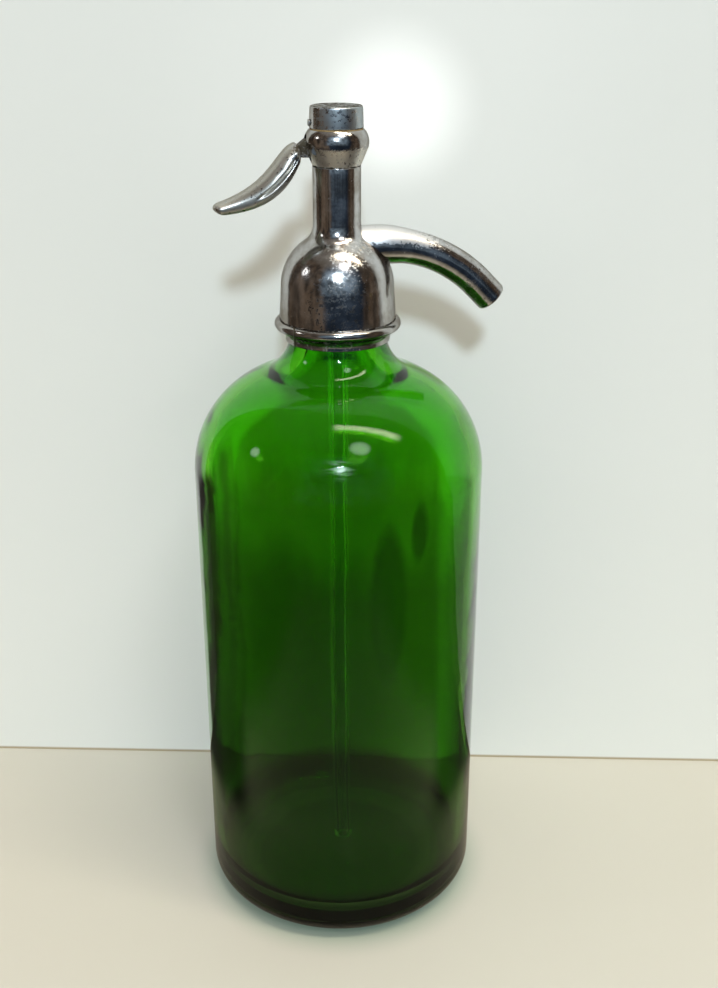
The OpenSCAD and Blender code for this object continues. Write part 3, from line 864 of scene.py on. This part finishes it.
def soft_ring(name, dark, light, grain):
    """Rubber or fibre: matt, slightly mottled and grained."""
    f = Finish(name)
    where = f.place()
    mottle = f.noise(where, 2.5, 4, 0.6)
    grit = f.noise(where, grain, 3, 0.7)
    return f.set(Base_Color=f.mix(mottle, dark, light), Roughness=grit * 0.3 + 0.5,
                 Normal=f.bump(grit, 0.05))


def dress(piece, material):
    """Gives a piece its material, in place of any it had."""
    piece.data.materials.clear()
    piece.data.materials.append(material)


# ---------------------------------------------------------------- table, wall, light, camera

def in_view_frame(x, y):
    """A point given across and away from the camera's line of sight, in the model's frame."""
    a = math.radians(-VIEW_TURN)
    return x * math.cos(a) - y * math.sin(a), x * math.sin(a) + y * math.cos(a)


def sheet_of(name, corners):
    """A flat quad through four corners in metres."""
    mesh = bpy.data.meshes.new(name)
    mesh.from_pydata(corners, [], [(0, 1, 2, 3)])
    piece = bpy.data.objects.new(name, mesh)
    bpy.context.scene.collection.objects.link(piece)
    return piece


def plain_paint(name, colour, shade):
    """Matt paint with a faint unevenness."""
    f = Finish(name, Roughness=0.6, Specular_IOR_Level=0.2)
    spot = f.node("ShaderNodeTexCoord", output=3)
    uneven = f.node("ShaderNodeTexNoise", sockets={"Vector": spot, "Scale": 9, "Detail": 3})
    f.base = f.mix(uneven, colour, shade)
    f.set(Base_Color=f.base)
    return f


def one_sided(f):
    """Lets light and sight through from behind, so that the wall hides nothing in other views."""
    behind = f.node("ShaderNodeNewGeometry", output=6)
    clear = f.node("ShaderNodeBsdfTransparent")
    painted = Value(f, f.shader.outputs[0])
    both = f.node("ShaderNodeMixShader", sockets={0: behind, 1: painted, 2: clear})
    f.feed(f.nodes["Material Output"].inputs[0], both)
    return f.owner


def table():
    """Table at z = 0, with a painted green-tinted shadow round the bottle's foot. Where the glass and the
    metal mirror it, it is lit in front of the bottle and round its foot and dark elsewhere. Seen
    through the glass, it glows faintly under the bottle."""
    front = [(x, TABLE_FRONT) for x in (-TABLE_END, TABLE_END)]
    back = [(x, TABLE_BACK) for x in (TABLE_END, -TABLE_END)]
    top = sheet_of("table_top", [(*in_view_frame(x, y), 0) for x, y in front + back])
    paint = plain_paint("table_paint", (0.59, 0.58, 0.52), (0.56, 0.55, 0.49))
    place = paint.place()
    x, y, _ = paint.split(place)
    across, away, _ = paint.seen(place)
    from_axis = (x * x + y * y).root()
    near = across.band(-170, 170, 40) * away.band(-330, -40, 20) * away.ramp(-400, -60)
    mirrored = paint.mix(near, DARK_ROOM, (0.46, 0.41, 0.33))
    mirrored = paint.mix(from_axis.ramp(115, 85), mirrored, (0.30, 0.27, 0.21))
    # painted shadow: darker and greener round the bottle's foot, for its contact shadow
    shown = paint.mix(from_axis.ramp(61, 42) * 0.85, paint.base, (0.25, 0.35, 0.27))
    shown = paint.mix(paint.ray("Is Glossy Ray"), shown, mirrored)
    under = from_axis.ramp(54, 46) * paint.ray("Is Transmission Ray")
    lit = paint.mix(under, BLACK, (0.085, 0.08, 0.065))
    paint.set(Base_Color=shown, Emission_Color=lit, Emission_Strength=1.0)
    top.data.materials.append(paint.owner)


def wall():
    """Wall that stands on the table behind the bottle, with a painted shadow line along its foot and a
    patch of glare that only the camera sees. Mirrored in the glass and the metal, its lower part is dark
    on both sides."""
    turn = math.radians(WALL_TURN)
    foot = [(x * math.cos(turn), WALL_AWAY - x * math.sin(turn)) for x in (WALL_LEFT, WALL_RIGHT)]
    low = [(*in_view_frame(x, y), 0) for x, y in foot]
    high = [(*in_view_frame(x, y), WALL_HEIGHT) for x, y in foot[::-1]]
    sheet = sheet_of("wall_sheet", low + high)
    paint = plain_paint("wall_paint", (0.765, 0.80, 0.78), (0.745, 0.78, 0.76))
    across, _, up = paint.seen(paint.place())
    # painted shade: a dark brown line along the wall's foot, in the corner with the table
    shown = paint.mix(up.ramp(1.6, 0.6), paint.base, (0.42, 0.36, 0.25))
    sides = (across.ramp(-98, -112) + across.ramp(110, 150) * 0.6) * up.ramp(145, 120)
    shown = paint.mix(paint.ray("Is Glossy Ray") * sides, shown, (0.10, 0.09, 0.08))
    right, above = across - GLARE[0], up - GLARE[1]
    far = (right * right + above * above).root()
    glare = paint.ray("Is Camera Ray") * (far.ramp(36, 6) * 0.32 + far.ramp(110, 10) * 0.05)
    paint.set(Base_Color=shown, Emission_Color=paint.mix(glare, BLACK, WHITE), Emission_Strength=1.0)
    sheet.data.materials.append(one_sided(paint))


def along(w, towards, direction):
    """How far the way towards something goes along a direction."""
    settings = {"operation": "DOT_PRODUCT"}
    return w.node("ShaderNodeVectorMath", settings, {0: towards, 1: direction}, output=1)


def glow(w, towards, side, height, size):
    """1 in a round patch about size degrees wide at that bearing and height, fading at its rim."""
    a, e = math.radians(side), math.radians(height)
    spot = (math.sin(a) * math.cos(e), -math.cos(a) * math.cos(e), math.sin(e))
    near = along(w, towards, spot)
    return near.ramp(math.cos(math.radians(size * 0.7)), math.cos(math.radians(size * 0.3)))


def room_light():
    """The room by direction. What the metal and the glass see: brown sides, a dark front with a dim
    cool window in it, and a ceiling with a long warm lamp and a few spots. What lights the matt
    surfaces: one even, warm tone, dark below. The camera sees a pale backdrop."""
    world = bpy.data.worlds.new("room")
    bpy.context.scene.world = world
    w = Tree(world)
    spot = w.node("ShaderNodeTexCoord", output=0)
    towards = w.node("ShaderNodeVectorRotate", {"rotation_type": "Z_AXIS"},
                     {"Vector": spot, "Angle": math.radians(VIEW_TURN)})
    x, y, z = w.split(towards)
    degrees = 180 / math.pi
    side = x.math("ARCTAN2", x, y * -1) * degrees
    height = z.math("ARCSINE", z) * degrees
    mottle = w.node("ShaderNodeTexNoise", sockets={"Vector": towards, "Scale": 6, "Detail": 3})
    mottle = mottle.ramp(0.38, 0.62)
    streak = w.noise(towards, 0.3, 2, stretch=(3, 3, 0.6)).ramp(0.4, 0.65)
    brown = w.mix(streak, (0.035, 0.028, 0.022), (0.17, 0.125, 0.09))
    colour = w.mix(side.band(-26, 54, 4), brown, (0.018, 0.028, 0.045))
    window = side.band(-33, 42, 5) * height.band(-7, 43, 4)
    colour = w.mix(window, colour, w.mix(mottle, (0.05, 0.07, 0.09), (0.24, 0.32, 0.40)))
    colour = w.mix(height.ramp(44, 58), colour, (0.22, 0.20, 0.175))
    off_lamp = along(w, towards, (0.0714, 0.972, 0.224))
    long_lamp = off_lamp.band(-0.045, 0.045, 0.025) * x.band(-0.04, 0.63, 0.06) * z.ramp(0.5, 0.6)
    colour = w.mix(long_lamp, colour, (23, 20.5, 16))
    spots = (((2, 31, 10), (2.6, 3.3, 3.7)), ((24, 51, 12), (12, 12, 12)),
             ((-79, 27, 7), (10, 10, 10)), ((126, 71, 9), (5.0, 4.8, 4.4)))
    for place, shine in spots:
        colour = w.mix(glow(w, towards, *place), colour, shine)
    matt = w.mix(z.ramp(-0.15, 0.05), (0.08, 0.07, 0.06), (0.57, 0.485, 0.40))
    colour = w.mix(w.ray("Is Diffuse Ray"), colour, matt)
    colour = w.mix(w.ray("Is Camera Ray"), colour, (0.80, 0.82, 0.80))
    w.feed(w.nodes["Background"].inputs[0], colour)


def lamp(name, across, away, up, size, power, colour):
    """A square lamp that looks at the head of the siphon."""
    light = bpy.data.lights.new(name, "AREA")
    light.size = size
    light.energy = power
    light.color = colour
    lamp_object = bpy.data.objects.new(name, light)
    place = np.array([*in_view_frame(across, away), up])
    aim = Vector((0, 0, 0.2)) - Vector(place)
    lamp_object.location = place
    lamp_object.rotation_euler = aim.to_track_quat("-Z", "Y").to_euler()
    bpy.context.scene.collection.objects.link(lamp_object)


def camera():
    """The photograph's view, a little above the cap and looking down by 22.7 degrees."""
    lens = bpy.data.cameras.new("view")
    lens.lens = 44.53
    lens.sensor_width = 36
    lens.shift_y = 0.0023
    lens.clip_start = 0.01
    seat = bpy.data.objects.new("view", lens)
    seat.location = (*in_view_frame(0, -CAMERA_BACK), CAMERA_UP)
    seat.rotation_euler = (math.radians(CAMERA_TILT), 0, math.radians(-VIEW_TURN - CAMERA_PAN))
    bpy.context.scene.collection.objects.link(seat)
    bpy.context.scene.camera = seat


# ---------------------------------------------------------------- putting it together

def main():
    finishes = {
        "green_glass": green_glass(),
        "tube_glass": tube_glass(),
        "plated_metal": worn_plate("plated_metal", head_wear, head_grime, head_pits, head_frost),
        "collar_metal": worn_plate("collar_metal", edge_wear(COLLAR_Z, BELL_Z), collar_grime),
        "lever_metal": worn_plate("lever_metal", grime=lever_grime, frost=lever_frost,
                                  bare=(0.62, 0.60, 0.55)),
        "pin_steel": turned_metal("pin_steel", (0.12, 0.11, 0.10), (0.42, 0.41, 0.40), 0.3),
        "brass": turned_metal("brass", (0.28, 0.20, 0.09), (0.72, 0.56, 0.28), 0.25),
        "rubber": soft_ring("rubber", (0.012, 0.012, 0.012), (0.03, 0.03, 0.032), 0.3),
        "fibre": soft_ring("fibre", (0.16, 0.045, 0.03), (0.30, 0.10, 0.06), 0.2),
        "spring_steel": turned_metal("spring_steel", (0.16, 0.15, 0.14), (0.50, 0.50, 0.52), 0.25),
    }
    own = {
        # the housing's beige bare colour is a painted reflection of the table on its lower half
        "lever_housing": worn_plate("housing_metal", housing_wear, edge_grime(STEM_TOP),
                                    frost=housing_matt_and_table_reflection, bare=(0.80, 0.76, 0.69)),
        "top_cap": worn_plate("cap_metal", edge_wear(CAP_Z, CAP_TOP), cap_grime, frost=cap_frost,
                              bare=(0.50, 0.55, 0.58)),
        "cap_gasket": soft_ring("dirty_fibre", (0.20, 0.13, 0.05), (0.42, 0.30, 0.13), 0.2),
        # the spout's pale bare colour is a painted sheen along its top
        "spout": worn_plate("spout_metal", pitted=spout_pits, frost=spout_matt_and_sheen,
                            bare=(0.86, 0.86, 0.87)),
    }
    bodies = frame["record"]["behaviour"]["bodies"]
    for slot, nodes in SLOTS.items():
        for node in nodes.split():
            piece = frame["nodes"][node]
            if node in PIECES:
                piece = PIECES[node]()
                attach(piece, next(body for body in bodies if node in bodies[body]))
                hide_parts(node)
            dress(piece, own.get(node, finishes[slot]))
    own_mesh(bpy.data.objects["spring_wire"])


main()
table()
wall()
room_light()
lamp("key_lamp", 0.037, -1.067, 0.827, 0.09, 8.2, (0.76, 0.90, 1.0))
camera()
bpy.context.scene.view_settings.view_transform = "Standard"
